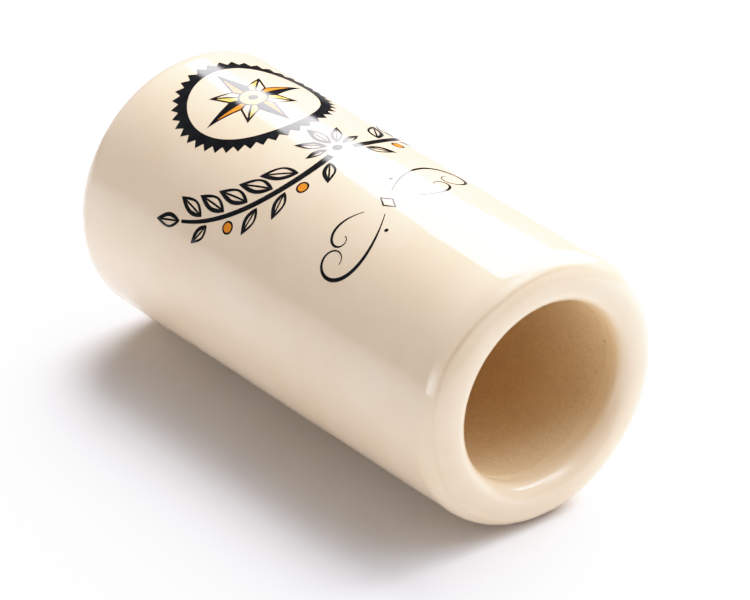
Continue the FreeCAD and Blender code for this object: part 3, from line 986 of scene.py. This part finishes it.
for ob, node, slot in pieces:
    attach(ob, "root")
    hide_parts(node)


# ---------------------------------------------------------------------------
# Stage: white floor, one large softbox behind, an uneven room.  The camera
# stands on the +X -Y side.  Headings are degrees from +X towards +Y.
# ---------------------------------------------------------------------------
def direction_to(heading, elevation):
    h, e = math.radians(heading), math.radians(elevation)
    return (math.cos(h) * math.cos(e), math.sin(h) * math.cos(e), math.sin(e))


def floor_material():
    m = Finish("floor_white")
    white = m.mix(m.mottle(size=40.0, detail=2.0, rough=0.5, seed=3.0, span=(0.3, 0.7)),
                  (0.935, 0.930, 0.930), (0.950, 0.948, 0.950))
    camera_ray = m.camera_ray()
    # behind the slide the paper ends under the softbox: seen only in reflections
    x, y, _ = m.split(m.co)
    far = m.ramp(m.along(x, y, -0.695, 0.719), 95.0, 175.0)
    ended = m.mul(far, m.minus(1.0, camera_ray))
    # for a camera on the softbox's side the paper is a shade darker, so the
    # outline stays clear
    view_x, view_y, _ = m.split(m.add("ShaderNodeNewGeometry").outputs["Incoming"])
    behind = m.mul(m.ramp(m.along(view_x, view_y, -0.7, 0.7), 0.2, 0.6), camera_ray)
    paper = m.mix(behind, white, (0.76, 0.765, 0.78))
    # well away from the slide the paper runs out to plain white for the camera
    distance = m.math("SQRT", m.along(x, y, x, y))
    glow = m.mul(m.ramp(distance, 75.0, 210.0, 0.0, 2.0), m.minus(camera_ray, behind))
    m.set(Base_Color=m.mix(ended, paper, (0.10, 0.10, 0.10)), Roughness=0.85,
          Specular_IOR_Level=0.15, Emission_Color=(1.0, 1.0, 1.0, 1.0),
          Emission_Strength=glow)
    return m.material


def make_floor():
    half = 30.0                    # metres
    z = -RADIUS * MM
    corners = [(-half, -half, z), (half, -half, z), (half, half, z), (-half, half, z)]
    add_object("floor", new_mesh("floor", corners, [(0, 1, 2, 3)], floor_material()))


BOX_HEADING, BOX_ELEVATION = 115, 45
BOX_DISTANCE = 0.400               # metres from the origin
BOX_HALF = 235.0                   # half-width of the lit octagon
BOX_RISE = 12.0                    # its centre's offset along the panel's y
BOX_STRETCH = 35.0                 # half of its lengthening towards the panel's -x
BOX_STRENGTH = 7.3


def softbox_material():
    """Octagonal light, its strength falling off at the rim."""
    m = Finish("softbox", "ShaderNodeEmission")
    x, y, _ = m.split(m.co)
    from_middle = m.math("ABSOLUTE", m.plus(x, BOX_STRETCH))
    across = m.math("MAXIMUM", m.minus(from_middle, BOX_STRETCH), 0.0)
    up = m.math("ABSOLUTE", m.minus(y, BOX_RISE))
    diagonal = m.mul(m.plus(across, up), 0.70711)
    edge = m.math("MAXIMUM", m.math("MAXIMUM", across, up), diagonal)
    m.set(Color=(1.0, 0.985, 1.03, 1.0),
          Strength=m.mul(m.ramp(edge, BOX_HALF + 8.0, BOX_HALF - 8.0), BOX_STRENGTH))
    return m.material


def make_softbox():
    """Large eight-sided softbox behind and above, facing the slide."""
    h, e = math.radians(BOX_HEADING), math.radians(BOX_ELEVATION)
    out = Vector(direction_to(BOX_HEADING, BOX_ELEVATION))
    across = Vector((-math.sin(h), math.cos(h), 0))
    up = Vector((-math.cos(h) * math.sin(e), -math.sin(h) * math.sin(e), math.cos(e)))
    radius = (BOX_HALF + 10.0) / math.cos(math.pi / 8) * MM   # to the corners
    corners = []
    for k in range(8):
        a = math.pi / 8 + k * math.pi / 4
        shift = 2 * BOX_STRETCH * MM if 2 <= k <= 5 else 0.0
        corners.append((radius * math.cos(a) - shift, BOX_RISE * MM + radius * math.sin(a), 0))
    mesh = new_mesh("softbox", corners, [tuple(range(8))], softbox_material())
    panel = add_object("softbox", mesh)
    panel.matrix_world = Matrix([(across[i], up[i], out[i], out[i] * BOX_DISTANCE)
                                 for i in range(3)] + [(0, 0, 0, 1)])
    panel.visible_camera = False


class Room(Nodes):
    """World background; its coordinate is the unit direction."""

    def __init__(self, name):
        world = bpy.data.worlds.new(name)
        bpy.context.scene.world = world
        super().__init__(world)
        unit = self.add("ShaderNodeVectorMath", operation="NORMALIZE")
        self.link(self.add("ShaderNodeTexCoord").outputs["Generated"], unit.inputs[0])
        self.co = unit.outputs[0]

    def falloff(self, cosine, sharpness):
        return self.math("EXPONENT", self.mul(self.minus(cosine, 1.0), sharpness))

    def patch(self, heading, elevation, sharpness):
        """Soft round patch of light, 1 at its centre."""
        n = self.add("ShaderNodeVectorMath", operation="DOT_PRODUCT")
        self.link(self.co, n.inputs[0])
        n.inputs[1].default_value = direction_to(heading, elevation)
        return self.falloff(n.outputs["Value"], sharpness)

    def card(self, heading, sharpness):
        """Low wide card of light, fading out towards -X."""
        x, y, z = self.split(self.co)
        level = self.math("SQRT", self.math("MAXIMUM", self.minus(1.0, self.mul(z, z)), 0.0001))
        h = math.radians(heading)
        ahead = self.math("DIVIDE", self.along(x, y, math.cos(h), math.sin(h)), level)
        low = self.mul(self.falloff(ahead, sharpness), self.ramp(z, 0.42, 0.12))
        return self.mul(low, self.ramp(x, -0.52, -0.10))


def make_room():
    """Soft and uneven light to the object, plain white to the camera."""
    room = Room("room")
    light = 0.0
    for part, strength in (
            (1.0, 0.02),                                                  # even dome
            (room.patch(heading=22, elevation=40, sharpness=8.0), 0.65),   # right
            (room.card(heading=255, sharpness=9.0), 6.1),                  # front
            (room.patch(heading=44, elevation=64, sharpness=22.0), 5.8),   # high key
            (room.patch(heading=180, elevation=5, sharpness=60.0), 0.8)):  # -X end
        light = room.plus(light, room.mul(part, strength))
    camera_ray = room.camera_ray()
    background = room.add("ShaderNodeBackground")
    background.inputs["Color"].default_value = (0.98, 1.0, 1.09, 1.0)
    room.put(background.inputs["Strength"],
             room.along(light, camera_ray, room.minus(1.0, camera_ray), 2.0))
    room.link(background.outputs[0], room.add("ShaderNodeOutputWorld").inputs[0])


LENS = 287.479627344
SENSOR = 36.0
AXIS_TURN, AXIS_TILT = -0.553924315, 0.749523154   # of +X in the camera's frame, radians
# the origin in the camera's frame, in outside radii
ORIGIN_SEEN = (-0.0999092648, 0.123588215, -41.468144823)


def make_camera():
    origin = Vector(ORIGIN_SEEN) * (RADIUS * MM)
    # the slide's axes in the camera's frame; Z has no sideways part
    x_axis = Vector((math.cos(AXIS_TILT) * math.cos(AXIS_TURN),
                     math.cos(AXIS_TILT) * math.sin(AXIS_TURN), math.sin(AXIS_TILT)))
    lean = math.atan2(-x_axis.y, x_axis.z)
    z_axis = Vector((0, math.cos(lean), math.sin(lean)))
    rotation = Matrix((x_axis, z_axis.cross(x_axis), z_axis))
    data = bpy.data.cameras.new("camera")
    data.sensor_fit = "HORIZONTAL"
    data.sensor_width = SENSOR
    data.lens = LENS
    data.clip_start, data.clip_end = 0.01, 100.0
    camera = add_object("camera", data)
    camera.matrix_world = Matrix.Translation(-(rotation @ origin)) @ rotation.to_4x4()
    bpy.context.scene.camera = camera


# tone curve with a soft shoulder: (in, out)
TONE = [(0.0, 0.0), (0.30, 0.595), (0.40, 0.750), (0.50, 0.880),
        (0.60, 0.957), (0.72, 0.992), (0.85, 1.0), (1.0, 1.0)]


def set_view():
    view = bpy.context.scene.view_settings
    view.view_transform = "Standard"
    view.look = "None"
    view.exposure = 0.0
    view.gamma = 1.0
    view.use_curve_mapping = True
    mapping = view.curve_mapping
    mapping.white_level = (2.0, 2.0, 2.0)
    curve = mapping.curves[3]      # all channels together
    curve.points[0].location = TONE[0]
    curve.points[-1].location = TONE[-1]
    for point in TONE[1:-1]:
        curve.points.new(*point)
    mapping.update()


make_floor()
make_softbox()
make_room()
make_camera()
set_view()
